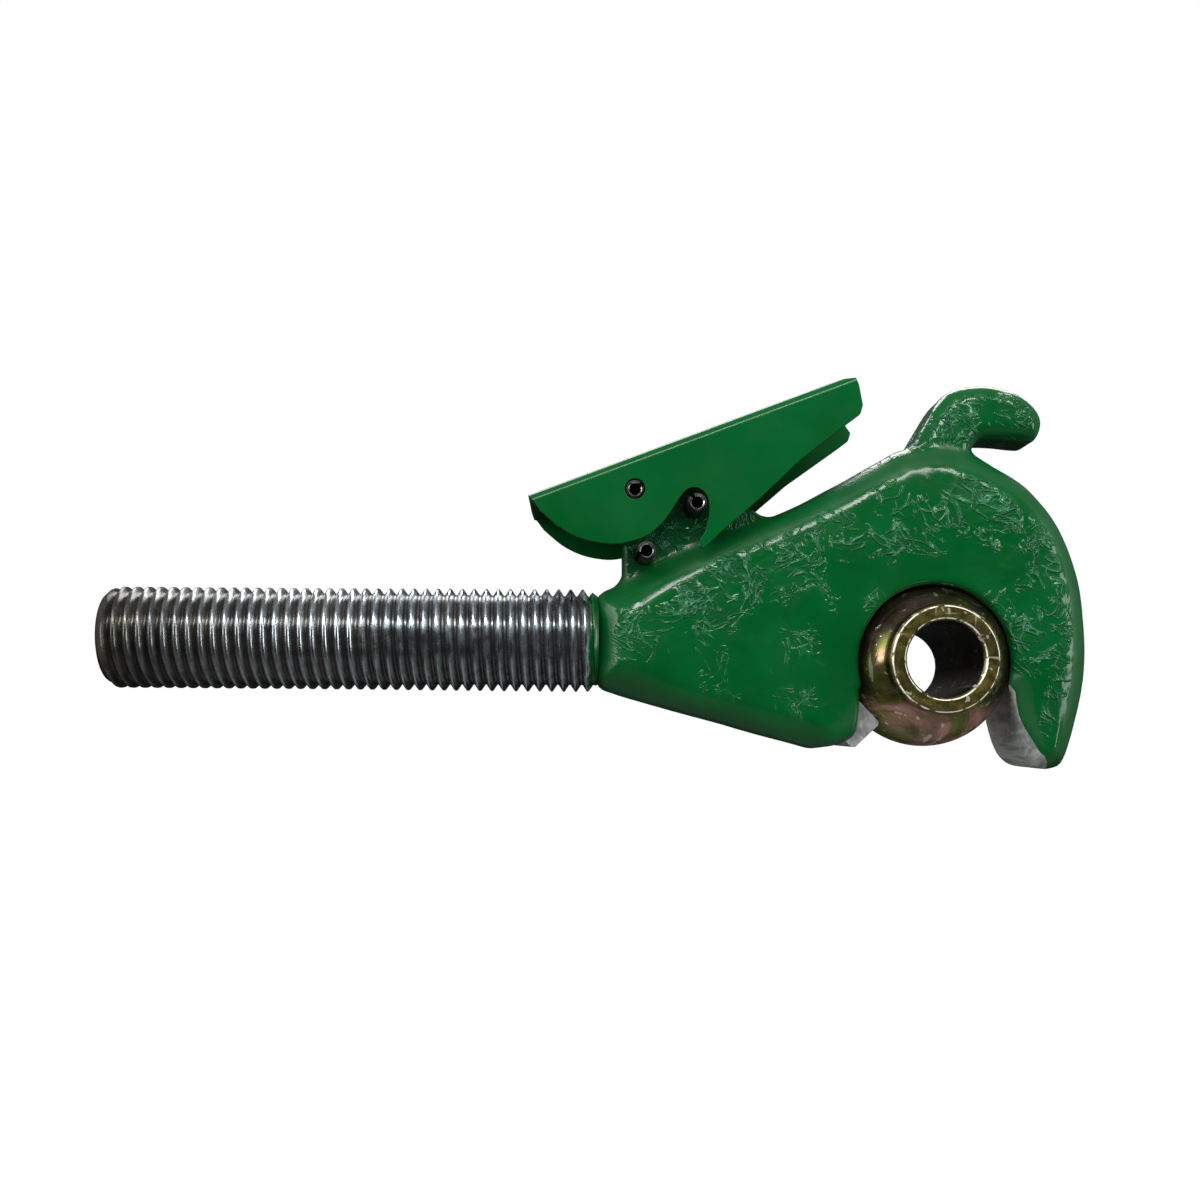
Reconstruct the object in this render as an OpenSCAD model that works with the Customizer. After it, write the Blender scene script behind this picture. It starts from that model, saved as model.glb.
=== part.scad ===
// Quick hook end of a tractor's top link: a forged hook on a threaded shank,
// a swivelling ball in its jaw, and a sprung latch that a hand lever draws back.
// Origin at the ball's centre, +X towards the hook's back, +Z up, Y along the ball's bore.

/* [Ball] */
// Diameter of the ball
ball_d = 44; // [42:0.5:45]
// Width of the ball over its collars
ball_w = 44; // [40:1:48]
// Diameter of the pin bore
bore_d = 19.3; // [16:0.1:22]
// Diameter of the flat-ended collars
collar_d = 27.4; // [25:0.2:29]

/* [Shank] */
// Major diameter of the thread
thread_d = 27; // [24:0.5:28]
// Thread pitch, eight turns to the inch
pitch = 3.175; // [2.5:0.025:4]
// Distance from the ball's centre to the weld
weld_x = 86; // [84:0.5:90]
// Length of the shank from its free end to the weld
shank_l = 129; // [90:1:180]
// Height of the shank's axis above the ball's centre
shank_z = 5.2; // [4:0.1:7]

/* [Hook] */
// Thickness of the hook's head
head_t = 27; // [26:0.5:27.5]
// Thickness of the lug between the lever's cheeks
lug_t = 14; // [12:0.5:16]
// Thickness of the horn on top
horn_t = 19; // [14:0.5:24]
// Gap between the ball and its seat
seat_gap = 0.4; // [0.3:0.05:0.6]

/* [Latch] */
// Angle of the latch's axis below the horizontal
latch_angle = 46; // [45.5:0.1:46.5]
// Diameter of the stem
stem_d = 9; // [8:0.2:9.4]
// Diameter of the collar that carries the spring
plunger_d = 13; // [12:0.2:13.4]
// Thickness of the nose that blocks the jaw
nose_t = 9.6; // [9:0.2:10]
// Width of the nose, across the hook
nose_w = 20; // [18:0.5:20.5]
// Distance from the lever's pivot to the end of the nose
latch_l = 86.6; // [85:0.2:87]
// Wire diameter of the spring
wire_d = 1.5; // [1:0.1:1.7]
// Number of turns in the spring
spring_turns = 7; // [5:1:9]

/* [Lever] */
// Thickness of the lever's sheet
sheet_t = 2; // [1.5:0.1:2]
// Width of the lever over its two cheeks
lever_w = 32; // [31.5:0.1:34]
// Diameter of the spring pins
pin_d = 5; // [4.6:0.1:5]
// Diameter of the hole through each spring pin
pin_bore_d = 3; // [2:0.1:3.4]

/* [Hidden] */
$fn = 96;
eps = 0.01;

ball_r = ball_d / 2;
seat_r = ball_r + seat_gap;
thread_r = thread_d / 2;
root_r = thread_r - 0.55 * pitch;
pin_r = pin_d / 2;

// Lever pivot, in the plane of the hook
pivot = [-77.2, 42.7];
// Unit vectors along the latch, towards its nose, and across it, towards the ball
along = [cos(latch_angle), -sin(latch_angle)];
across = [sin(latch_angle), cos(latch_angle)];
// The two pins stand either side of the latch, the same distance below the pivot
lug_pin_drop = 13.4;
lug_pin_side = 8.8;
upper_pin = pivot + lug_pin_drop * along + lug_pin_side * across;
lower_pin = pivot + lug_pin_drop * along - lug_pin_side * across;
lug_top = 7.5;

// Stations along the latch, measured from the pivot
pocket_start = 34;
collar_start = 63;
nose_start = 71.5;
nose_shift = 0.3;
nose_near = nose_t / 2 + nose_shift;
nose_far = nose_t / 2 - nose_shift;
latch_stroke = 10.5;
fit_gap = 0.1;
// The ball's centre, seen along the latch and across it from the pivot
ball_reach = -(pivot * along);
ball_side = -(pivot * across);

function mid(a, b, c, d, t) = 0.5 * (2 * b + (c - a) * t + (2 * a - 5 * b + 4 * c - d) * t * t
  + (3 * b - a - 3 * c + d) * t * t * t);

// A smooth curve through the given points, with n steps between each pair
function curve(p, n = 4) = let (last = len(p) - 1) concat([for (i = [0:last - 1], k = [0:n - 1])
  mid(p[max(i - 1, 0)], p[i], p[i + 1], p[min(i + 2, last)], k / n)], [p[last]]);

// Extrudes an X-Z outline to a plate centred on Y = 0
module plate(points, thickness) {
  rotate([90, 0, 0]) linear_extrude(thickness, center = true) polygon(points);
}

// A round bar along Y, centred on Y = 0, at a place in the X-Z plane
module cross_bar(place, r, length) {
  translate([place.x, 0, place.y]) rotate([90, 0, 0]) cylinder(r = r, h = length, center = true);
}

// Puts its children in the latch's frame: origin at the pivot, +Z towards the nose, -X to the ball
module latch_frame() {
  translate([pivot.x, 0, pivot.y]) rotate([0, 90 + latch_angle, 0]) children();
}

// ---- hook body ----

crown = curve([[-42.3, 36.7], [-33.8, 40], [-23.4, 45.5], [-13.1, 51.3], [-6.6, 54.4], [4, 56],
  [14.5, 52.2], [23.3, 47.4], [28.6, 42.4], [32.8, 37.2], [36.1, 30.5], [38.4, 24], [40, 16],
  [40.8, 5.7], [40.3, -4.5], [39, -12.5], [37, -20.3], [35.4, -24.9], [33.8, -27], [31.2, -27.6]]);
mouth = curve([[31.2, -27.6], [27.5, -27.1], [24.4, -24.8], [22.6, -21.5], [21.2, -17], [19.6, -8]]);
heel = curve([[-19.2, -18.4], [-21.4, -20.2], [-25.7, -22.1], [-30.3, -22.8]]);
head_outline = concat([[-84.4, 18.6], [-79.8, 21.2]], crown, mouth, [[-19.2, -8]], heel, [[-84.4, -8.3]]);

lug_left = pivot.x - 2.5;
lug_corner = pivot + lug_top * along + 13 * across;
lug_outline = [[lug_left, 12], [lug_left, 29.9], lug_corner - 0.6 * along - 1.2 * across,
  lug_corner + 1 * along, [-45.6, 39.2], [-42.5, 36.6], [-42.5, 12]];

horn_outline = concat([[-8, 49]], curve([[-4.6, 56], [-1.8, 60.8], [2.6, 67.6], [7, 70.3], [14.5, 71.1],
  [21.2, 69.6], [25.1, 67.3], [28.2, 64.5], [29.2, 61.4], [27.6, 57.6], [24.7, 57.2], [18.6, 57.8],
  [13.6, 57.8], [11.8, 55.2], [14.8, 51.9]]), [[16, 46]]);

// The bar end of the head is round and grows into the flat-sided head
module neck_envelope() {
  translate([-weld_x, 0, shank_z]) rotate([0, 90, 0])
    rotate_extrude() polygon([[0, 0], [11.9, 0], [13.7, 1.8], [17.2, 6], [23, 15], [90, 40], [90, 140],
      [0, 140]]);
}

// Ball seat, open downwards
module jaw_space() {
  sphere(r = seat_r);
  translate([0, 0, -45]) cylinder(r = seat_r, h = 45);
  for (side = [-1, 1]) {
    rotate([side * 90, 0, 0]) translate([0, 0, head_t / 2 - 3]) cylinder(r1 = 18.9, r2 = 21.4, h = 3.2);
  }
}

module latch_bores() {
  latch_frame() {
    cylinder(r = stem_d / 2 + fit_gap, h = pocket_start + eps);
    translate([0, 0, pocket_start]) cylinder(r = plunger_d / 2 + fit_gap, h = 70);
    translate([-nose_near - fit_gap, -nose_w / 2 - fit_gap, nose_start - latch_stroke - 0.5])
      cube([nose_t + 2 * fit_gap, nose_w + 2 * fit_gap, 45]);
  }
}

module hook_body() {
  color([0.0, 0.42, 0.22]) difference() {
    union() {
      intersection() {
        union() {
          plate(head_outline, head_t);
          translate([-weld_x, 0, shank_z]) rotate([0, 90, 0]) cylinder(r = head_t / 2 + 0.2, h = 12);
        }
        neck_envelope();
      }
      plate(lug_outline, lug_t);
      plate(horn_outline, horn_t);
    }
    jaw_space();
    latch_bores();
    cross_bar(upper_pin, pin_r, lug_t + 2);
    cross_bar(lower_pin, pin_r, lug_t + 2);
  }
}

// ---- threaded shank ----

turns = floor((shank_l - 4) / pitch);
crest = pitch / 8;
thread_start = 2;
thread_end = thread_start + turns * pitch;

// One ridge of the thread in section: crest, flank, root, flank
function ridge(k) = let (z = thread_start + k * pitch) [[thread_r, z], [thread_r, z + crest],
  [root_r, z + pitch / 2], [root_r, z + pitch / 2 + crest]];

module threaded_shank() {
  profile = concat([[0, 0], [root_r, 0], [thread_r - 0.3, thread_start - 0.6]],
    [for (k = [0:turns - 1]) each ridge(k)], [[thread_r, thread_end], [thread_r, thread_end + crest],
      [11.9, shank_l], [0, shank_l]]);
  color([0.62, 0.63, 0.64]) translate([-weld_x - shank_l, 0, shank_z]) rotate([0, 90, 0])
    rotate_extrude() polygon(profile);
}

// ---- ball ----

ball_edge = 0.8;

module hitch_ball() {
  color([0.72, 0.66, 0.38]) difference() {
    union() {
      intersection() {
        sphere(r = ball_r);
        cross_bar([0, 0], ball_r + 1, ball_w - 6);
      }
      cross_bar([0, 0], collar_d / 2, ball_w - 2 * ball_edge);
      for (side = [-1, 1]) {
        rotate([side * 90, 0, 0]) translate([0, 0, ball_w / 2 - ball_edge])
          cylinder(r1 = collar_d / 2, r2 = collar_d / 2 - ball_edge, h = ball_edge);
      }
    }
    cross_bar([0, 0], bore_d / 2, ball_w + 2);
    for (side = [-1, 1]) {
      rotate([side * 90, 0, 0]) translate([0, 0, ball_w / 2 - ball_edge])
        cylinder(r1 = bore_d / 2, r2 = bore_d / 2 + ball_edge, h = ball_edge + eps);
    }
  }
}

// ---- latch ----

// The nose in section: a flat bar with broken edges at its end
module nose() {
  edge = 0.8;
  rotate([90, 0, 0]) linear_extrude(nose_w, center = true)
    polygon([[nose_far, nose_start], [nose_far, latch_l - edge], [nose_far - edge, latch_l],
      [edge - nose_near, latch_l], [-nose_near, latch_l - edge], [-nose_near, nose_start]]);
}

// The room the nose leaves for the ball, at rest and while it is drawn back
module ball_hollow() {
  translate([-ball_side, 0, ball_reach]) {
    sphere(r = ball_r + 0.12);
    cylinder(r = ball_r + 0.12, h = 8);
  }
}

module latch_bar() {
  color([0.66, 0.66, 0.65]) latch_frame() difference() {
    union() {
      cylinder(r = stem_d / 2, h = collar_start + 1);
      intersection() {
        translate([0, 0, -stem_d]) cylinder(r = stem_d / 2, h = stem_d);
        rotate([90, 0, 0]) cylinder(r = 4.9, h = stem_d + 2, center = true);
      }
      translate([0, 0, collar_start]) cylinder(r = plunger_d / 2, h = nose_start - collar_start + 0.5);
      nose();
    }
    rotate([90, 0, 0]) cylinder(r = pin_r, h = stem_d + 2, center = true);
    ball_hollow();
  }
}

// ---- spring ----

spring_l = collar_start - pocket_start;
coil_r = plunger_d / 2 - wire_d / 2 - 0.25;
ring_steps = 16;
wire_sides = 8;

// A coil of wire whose ends lie flat against the two shoulders
module latch_spring() {
  steps = spring_turns * ring_steps;
  rise = spring_l - wire_d - 0.4;
  rings = [for (i = [0:steps]) let (a = 360 * i / ring_steps, z = 0.2 + wire_d / 2 + rise * i / steps)
    for (k = [0:wire_sides - 1]) let (b = 360 * k / wire_sides, r = coil_r + wire_d / 2 * cos(b))
      [r * cos(a), r * sin(a), z + wire_d / 2 * sin(b)]];
  walls = [for (i = [0:steps - 1], k = [0:wire_sides - 1]) let (m = (k + 1) % wire_sides)
    [i * wire_sides + k, i * wire_sides + m, (i + 1) * wire_sides + m, (i + 1) * wire_sides + k]];
  ends = [[for (k = [wire_sides - 1:-1:0]) k], [for (k = [0:wire_sides - 1]) steps * wire_sides + k]];
  color([0.35, 0.36, 0.38]) latch_frame() translate([0, 0, pocket_start])
    polyhedron(rings, concat(walls, ends));
}

// ---- lever ----

// Points of the cheek are measured from the pivot
toe = [-26.9, -2.2];
heel_top = [50.5, 27.2];
cheek_outline = concat([toe, heel_top, [53.2, 27.8], [55.6, 28], [56.4, 26.6], [57.4, 21.6], [56.8, 19.4],
    [54.2, 17.4], [41.7, 7.7], [31.7, -2], [22, -10.5]],
  curve([[18.4, -14], [17.2, -14.8], [16.4, -13.8], [17.9, -10.2], [18.7, -6.5], [18.5, -2.4], [17.2, -0.4],
    [15.2, 0.5], [13, -0.1], [11.3, -2.1], [9, -5.7], [6.5, -9], [2.6, -12], [-3.6, -13.8], [-8.6, -13.7],
    [-13.7, -12.5], [-18.7, -10], [-23.8, -5.8]]));
slope = atan2(heel_top.y - toe.y, heel_top.x - toe.x);
web_drop = [sheet_t * sin(slope), -sheet_t * cos(slope)];

module release_lever() {
  cheek_y = lever_w / 2 - sheet_t / 2;
  color([0.0, 0.42, 0.22]) difference() {
    translate([pivot.x, 0, pivot.y]) {
      for (side = [-1, 1]) {
        translate([0, side * cheek_y, 0]) plate(cheek_outline, sheet_t);
      }
      plate([toe, heel_top, heel_top + web_drop, toe + web_drop], lever_w);
      plate([heel_top, [53.2, 27.8], [55.6, 28], [56, 26.4], heel_top + web_drop], lever_w);
    }
    cross_bar(pivot, pin_r + fit_gap, lever_w + 2);
  }
}

// ---- spring pins ----

module hollow_pin(place, length) {
  color([0.12, 0.12, 0.13]) difference() {
    cross_bar(place, pin_r, length);
    cross_bar(place, pin_bore_d / 2, length + 2);
  }
}

module lever_pivot_pin() {
  hollow_pin(pivot, 31.4);
}

module upper_lug_pin() {
  hollow_pin(upper_pin, 35);
}

module lower_lug_pin() {
  hollow_pin(lower_pin, 35);
}

hook_body();
threaded_shank();
hitch_ball();
latch_bar();
latch_spring();
release_lever();
lever_pivot_pin();
upper_lug_pin();
lower_lug_pin();
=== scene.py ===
import math

import bmesh
import bpy
import numpy as np
from mathutils import Matrix, Vector, noise


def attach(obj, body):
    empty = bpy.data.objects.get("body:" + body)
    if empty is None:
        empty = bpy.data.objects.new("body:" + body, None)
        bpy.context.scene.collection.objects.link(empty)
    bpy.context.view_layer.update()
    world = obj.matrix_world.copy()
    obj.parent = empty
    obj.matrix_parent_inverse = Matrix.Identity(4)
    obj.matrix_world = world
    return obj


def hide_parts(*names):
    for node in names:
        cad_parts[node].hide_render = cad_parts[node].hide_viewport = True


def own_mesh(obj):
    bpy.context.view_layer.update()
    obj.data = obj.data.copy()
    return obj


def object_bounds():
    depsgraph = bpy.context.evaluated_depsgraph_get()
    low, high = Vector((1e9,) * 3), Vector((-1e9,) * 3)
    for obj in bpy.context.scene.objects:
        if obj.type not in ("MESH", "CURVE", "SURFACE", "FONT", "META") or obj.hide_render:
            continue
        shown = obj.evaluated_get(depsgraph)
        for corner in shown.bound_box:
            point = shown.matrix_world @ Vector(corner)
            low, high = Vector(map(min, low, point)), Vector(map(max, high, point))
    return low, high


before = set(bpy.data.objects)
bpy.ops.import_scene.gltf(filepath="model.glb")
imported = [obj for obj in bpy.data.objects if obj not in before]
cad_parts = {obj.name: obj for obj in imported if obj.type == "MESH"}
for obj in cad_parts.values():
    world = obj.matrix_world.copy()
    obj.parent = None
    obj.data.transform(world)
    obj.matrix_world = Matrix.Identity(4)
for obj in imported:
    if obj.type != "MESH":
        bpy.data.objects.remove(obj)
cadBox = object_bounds()
print("frame loaded", [round(v, 4) for v in cadBox[0]], [round(v, 4) for v in cadBox[1]])

scene = bpy.context.scene
mm = 0.001  # every listed shape is drawn in millimetres and brought to metres at the end


def meshObject(name, verts, faces):
    mesh = bpy.data.meshes.new(name)
    mesh.from_pydata([tuple(v) for v in np.asarray(verts, float)], [], [tuple(map(int, f)) for f in faces])
    mesh.update()
    obj = bpy.data.objects.new(name, mesh)
    scene.collection.objects.link(obj)
    return obj


def applyAll(obj):  # turns what the modifiers make into the object's own mesh
    depsgraph = bpy.context.evaluated_depsgraph_get()
    fresh = bpy.data.meshes.new_from_object(obj.evaluated_get(depsgraph))
    old = obj.data
    obj.modifiers.clear()
    obj.data = fresh
    if old.users == 0:
        bpy.data.meshes.remove(old)
    return obj


def combine(obj, other, kind="DIFFERENCE"):  # uses the other shape up
    for solver in ("MANIFOLD", "EXACT"):
        before = len(obj.data.polygons)
        modifier = obj.modifiers.new("cut", "BOOLEAN")
        modifier.operation = kind
        modifier.solver = solver
        modifier.object = other
        depsgraph = bpy.context.evaluated_depsgraph_get()
        fresh = bpy.data.meshes.new_from_object(obj.evaluated_get(depsgraph))
        obj.modifiers.clear()
        if len(fresh.polygons) > 4 and len(fresh.polygons) != before:
            obj.data = fresh
            break
        print("  the", solver, "cut did nothing on", obj.name)
    bpy.data.objects.remove(other)
    return obj


def toMetres(obj):
    obj.data.transform(Matrix.Scale(mm, 4))
    return obj


def shadeSmooth(obj, angle=35):
    obj.data.shade_smooth()
    obj.data.set_sharp_from_angle(angle=math.radians(angle))
    return obj


def outward(obj):  # makes a closed mesh's faces point out
    bm = bmesh.new()
    bm.from_mesh(obj.data)
    bmesh.ops.recalc_face_normals(bm, faces=bm.faces)
    if bm.calc_volume(signed=True) < 0:
        bmesh.ops.reverse_faces(bm, faces=bm.faces)
    bm.to_mesh(obj.data)
    bm.free()
    return obj


def bevelled(obj, width, angle=35, segments=2):
    modifier = obj.modifiers.new("edges", "BEVEL")
    modifier.width = width
    modifier.segments = segments
    modifier.limit_method = "ANGLE"
    modifier.angle_limit = math.radians(angle)
    modifier.use_clamp_overlap = True
    return applyAll(obj)


def smoothCurve(points, steps=4):  # through every point
    p = [Vector(q) for q in points]
    out = []
    for i in range(len(p) - 1):
        a, b, c, d = p[max(i - 1, 0)], p[i], p[i + 1], p[min(i + 2, len(p) - 1)]
        for k in range(steps):
            t = k / steps
            q = 0.5 * (2 * b + (c - a) * t + (2 * a - 5 * b + 4 * c - d) * t * t + (3 * b - a - 3 * c + d) * t ** 3)
            out.append((q.x, q.y))
    out.append((p[-1].x, p[-1].y))
    return out


def lathe(name, profile, axis="Y", sides=96):  # profile is (radius, along) in mm, closed or ending on the axis
    verts, rings = [], []
    angles = [2 * math.pi * k / sides for k in range(sides)]
    for r, h in profile:
        if r < 1e-6:
            rings.append([len(verts)])
            verts.append((0, 0, h))
            continue
        rings.append(list(range(len(verts), len(verts) + sides)))
        verts += [(r * math.cos(a), r * math.sin(a), h) for a in angles]
    pairs = list(zip(rings[:-1], rings[1:]))
    if profile[0][0] > 1e-6:
        pairs.append((rings[-1], rings[0]))
    faces = []
    for low, high in pairs:
        for k in range(sides):
            m = (k + 1) % sides
            ring = [low[k % len(low)], low[m % len(low)], high[m % len(high)], high[k % len(high)]]
            face = [v for n, v in enumerate(ring) if v not in ring[:n]]
            if len(face) > 2:
                faces.append(face)
    turn = {"Y": Matrix.Rotation(math.radians(90), 4, "X"), "X": Matrix.Rotation(math.radians(90), 4, "Y"),
            "Z": Matrix.Identity(4)}[axis]
    obj = meshObject(name, verts, faces)
    obj.data.transform(turn)
    return outward(obj)


def prism(name, outline, thickness):  # an X-Z outline, centred on Y = 0
    n, half = len(outline), thickness / 2
    verts = [(x, -half, z) for x, z in outline] + [(x, half, z) for x, z in outline]
    faces = [list(range(n)), list(range(2 * n - 1, n - 1, -1))]
    faces += [[k, k + n, (k + 1) % n + n, (k + 1) % n] for k in range(n)]
    return outward(meshObject(name, verts, faces))


def finishPiece(obj, body, slotName, *nodes):
    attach(obj, body)
    if nodes:
        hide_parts(*nodes)
    print("made", obj.name, len(obj.data.polygons), "faces")


def put(tree, kind, inputs=None, **settings):
    made = tree.nodes.new(kind)
    for key, value in settings.items():
        setattr(made, key, value)
    for key, value in (inputs or {}).items():
        socket = made.inputs[key]
        if isinstance(value, bpy.types.NodeSocket):
            tree.links.new(value, socket)
        else:
            socket.default_value = value
    return made


def calc(tree, op, *values, clamp=False):
    made = tree.nodes.new("ShaderNodeMath")
    made.operation = op
    made.use_clamp = clamp
    for k, value in enumerate(values):
        if isinstance(value, bpy.types.NodeSocket):
            tree.links.new(value, made.inputs[k])
        else:
            made.inputs[k].default_value = value
    return made.outputs[0]


def plus(tree, a, b):
    return calc(tree, "ADD", a, b)


def minus(tree, a, b):
    return calc(tree, "SUBTRACT", a, b)


def times(tree, a, b):
    return calc(tree, "MULTIPLY", a, b)


def remap(tree, value, low, high, outLow=0.0, outHigh=1.0, smooth=True):
    made = put(tree, "ShaderNodeMapRange", {"Value": value, "From Min": low, "From Max": high, "To Min": outLow,
                                            "To Max": outHigh})
    made.interpolation_type = "SMOOTHSTEP" if smooth else "LINEAR"
    return made.outputs[0]


def blendColour(tree, factor, a, b, mode="MIX"):
    made = tree.nodes.new("ShaderNodeMix")
    made.data_type = "RGBA"
    made.blend_type = mode
    for socket, value in ((made.inputs[0], factor), (made.inputs[6], a), (made.inputs[7], b)):
        if isinstance(value, bpy.types.NodeSocket):
            tree.links.new(value, socket)
        elif isinstance(value, (int, float)):
            socket.default_value = value
        else:
            socket.default_value = (*value, 1.0)
    return made.outputs[2]


def speckle(tree, vector, scale, detail=2.0, rough=0.5, distortion=0.0):
    made = put(tree, "ShaderNodeTexNoise", {"Vector": vector, "Scale": scale, "Detail": detail, "Roughness": rough,
                                            "Distortion": distortion})
    return made.outputs["Fac"]


def twoTone(tree, vector, scale, detail, low, high, dark, pale, rough=0.5):  # uneven between two colours
    return blendColour(tree, remap(tree, speckle(tree, vector, scale, detail, rough), low, high), dark, pale)


def unevenGloss(tree, vector, scale, low, high):
    return remap(tree, speckle(tree, vector, scale, 3.0), 0.3, 0.7, low, high)


def mapped(tree, vector, **values):  # a pattern moved, turned or stretched
    return put(tree, "ShaderNodeMapping", {"Vector": vector, **values}).outputs[0]


def newGroup(name, inputs, outputs):
    group = bpy.data.node_groups.new(name, "ShaderNodeTree")
    for label, kind, value in inputs:
        socket = group.interface.new_socket(name=label, in_out="INPUT", socket_type="NodeSocket" + kind)
        if value is not None:
            socket.default_value = value
    for label, kind in outputs:
        group.interface.new_socket(name=label, in_out="OUTPUT", socket_type="NodeSocket" + kind)
    return group, group.nodes.new("NodeGroupInput"), group.nodes.new("NodeGroupOutput")


def useGroup(tree, group, **inputs):
    made = tree.nodes.new("ShaderNodeGroup")
    made.node_tree = group
    for key, value in inputs.items():
        if isinstance(value, bpy.types.NodeSocket):
            tree.links.new(value, made.inputs[key])
        else:
            made.inputs[key].default_value = value
    return made.outputs


def newMaterial(name, **constants):
    material = bpy.data.materials.new(name)
    material.use_nodes = True
    tree = material.node_tree
    tree.nodes.clear()
    shader = put(tree, "ShaderNodeBsdfPrincipled", constants)
    out = tree.nodes.new("ShaderNodeOutputMaterial")
    tree.links.new(shader.outputs[0], out.inputs[0])
    place = put(tree, "ShaderNodeTexCoord").outputs["Object"]
    return material, tree, shader, place


def feed(tree, shader, values):
    for name, value in values.items():
        tree.links.new(value, shader.inputs[name])


def addBump(tree, shader, height, distance):
    bump = put(tree, "ShaderNodeBump", {"Height": height, "Distance": distance, "Strength": 1.0})
    tree.links.new(bump.outputs[0], shader.inputs["Normal"])


def makeWrinkles():  # thick paint shrunk into short creases that lie together, and a fine peel
    group, given, out = newGroup("paintWrinkles", [("Vector", "Vector", None), ("Crease Scale", "Float", 400.0),
                                                   ("Peel Scale", "Float", 1400.0), ("Cover", "Float", 0.5)],
                                 [("Height", "Float"), ("Crease", "Float")])
    vector = given.outputs["Vector"]
    warp = put(group, "ShaderNodeTexNoise", {"Vector": vector, "Scale": 70.0, "Detail": 1.0})
    shift = put(group, "ShaderNodeVectorMath", {0: warp.outputs["Color"], 1: (0.5, 0.5, 0.5)}, operation="SUBTRACT")
    scaled = put(group, "ShaderNodeVectorMath", {0: shift.outputs[0], "Scale": 0.012}, operation="SCALE")
    warped = put(group, "ShaderNodeVectorMath", {0: vector, 1: scaled.outputs[0]}, operation="ADD").outputs[0]
    crease = None
    for turn, place in ((0.2, 0.0), (0.95, 0.31), (1.6, 0.62), (2.35, 0.93)):
        turned = mapped(group, warped, Location=(place, place, 0.0), Rotation=(0.0, turn, 0.0))
        stretched = mapped(group, turned, Scale=(1.0, 0.5, 0.24))
        field = put(group, "ShaderNodeTexNoise", {"Vector": stretched, "Scale": given.outputs["Crease Scale"],
                                                  "Detail": 1.5, "Roughness": 0.5}).outputs["Fac"]
        ridge = remap(group, calc(group, "ABSOLUTE", minus(group, field, 0.52)), 0.0, 0.05, 1.0, 0.0)
        where = remap(group, speckle(group, turned, 105.0, 1.0), 0.5, 0.56)
        stroke = times(group, ridge, where)
        crease = stroke if crease is None else calc(group, "MAXIMUM", crease, stroke)
    low = minus(group, 0.97, given.outputs["Cover"])
    patches = put(group, "ShaderNodeMapRange", {"Value": speckle(group, vector, 60.0, 3.0, 0.6), "From Min": low,
                                                "From Max": plus(group, low, 0.1)}).outputs[0]
    crease = times(group, crease, patches)
    peel = speckle(group, vector, given.outputs["Peel Scale"], 1.0)
    height = plus(group, crease, times(group, peel, 0.05))
    group.links.new(height, out.inputs["Height"])
    group.links.new(crease, out.inputs["Crease"])
    return group


def makeGrime():  # a patchy mask for oil and dirt
    group, given, out = newGroup("grime", [("Vector", "Vector", None), ("Scale", "Float", 60.0),
                                           ("Cover", "Float", 0.5), ("Soft", "Float", 0.12)], [("Mask", "Float")])
    field = speckle(group, given.outputs["Vector"], given.outputs["Scale"], 5.0, 0.62, 0.6)
    bare = minus(group, 1.0, given.outputs["Cover"])
    low, high = minus(group, bare, given.outputs["Soft"]), plus(group, bare, given.outputs["Soft"])
    span = put(group, "ShaderNodeMapRange", {"Value": field, "From Min": low, "From Max": high})
    group.links.new(span.outputs[0], out.inputs["Mask"])
    return group


def makeScratches():  # fine bright lines at several angles
    group, given, out = newGroup("scratches", [("Vector", "Vector", None), ("Scale", "Float", 300.0)],
                                 [("Mask", "Float")])
    total = None
    for turn, stretch in (((0.3, 1.2, 0.5), (1.0, 0.06, 1.0)), ((1.1, 0.2, 2.1), (1.0, 1.0, 0.07)),
                          ((0.7, 2.2, 1.3), (0.08, 1.0, 1.0))):
        placed = mapped(group, given.outputs["Vector"], Rotation=turn, Scale=stretch)
        lines = remap(group, speckle(group, placed, given.outputs["Scale"], 2.0, 0.5), 0.66, 0.7)
        total = lines if total is None else calc(group, "MAXIMUM", total, lines)
    group.links.new(total, out.inputs["Mask"])
    return group


def makeEdgeWear():  # where corners stand proud
    group, given, out = newGroup("edgeWear", [("Vector", "Vector", None), ("Start", "Float", 0.53),
                                              ("End", "Float", 0.6)], [("Mask", "Float")])
    point = put(group, "ShaderNodeNewGeometry").outputs["Pointiness"]
    grain = minus(group, speckle(group, given.outputs["Vector"], 500.0, 3.0), 0.5)
    edge = put(group, "ShaderNodeMapRange", {"Value": plus(group, point, times(group, grain, 0.06)),
                                             "From Min": given.outputs["Start"], "From Max": given.outputs["End"]})
    group.links.new(edge.outputs[0], out.inputs["Mask"])
    return group


wrinkles, grime, scratches, edgeWear = makeWrinkles(), makeGrime(), makeScratches(), makeEdgeWear()


# the pale green is a painted highlight for the crease crests
greens = {"deep": (0.0, 0.06, 0.0105), "plain": (0.0, 0.073, 0.0145), "paintedCreaseHighlight": (0.05, 0.22, 0.12)}
forgedLook = {"cover": 0.43, "coverOnFaces": 0.12, "crest": 0.4, "bump": 0.00065, "shine": 0.4,
              "groundDark": (0.19, 0.205, 0.195), "groundPale": (0.4, 0.42, 0.4), "groundMetal": 0.45}


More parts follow.
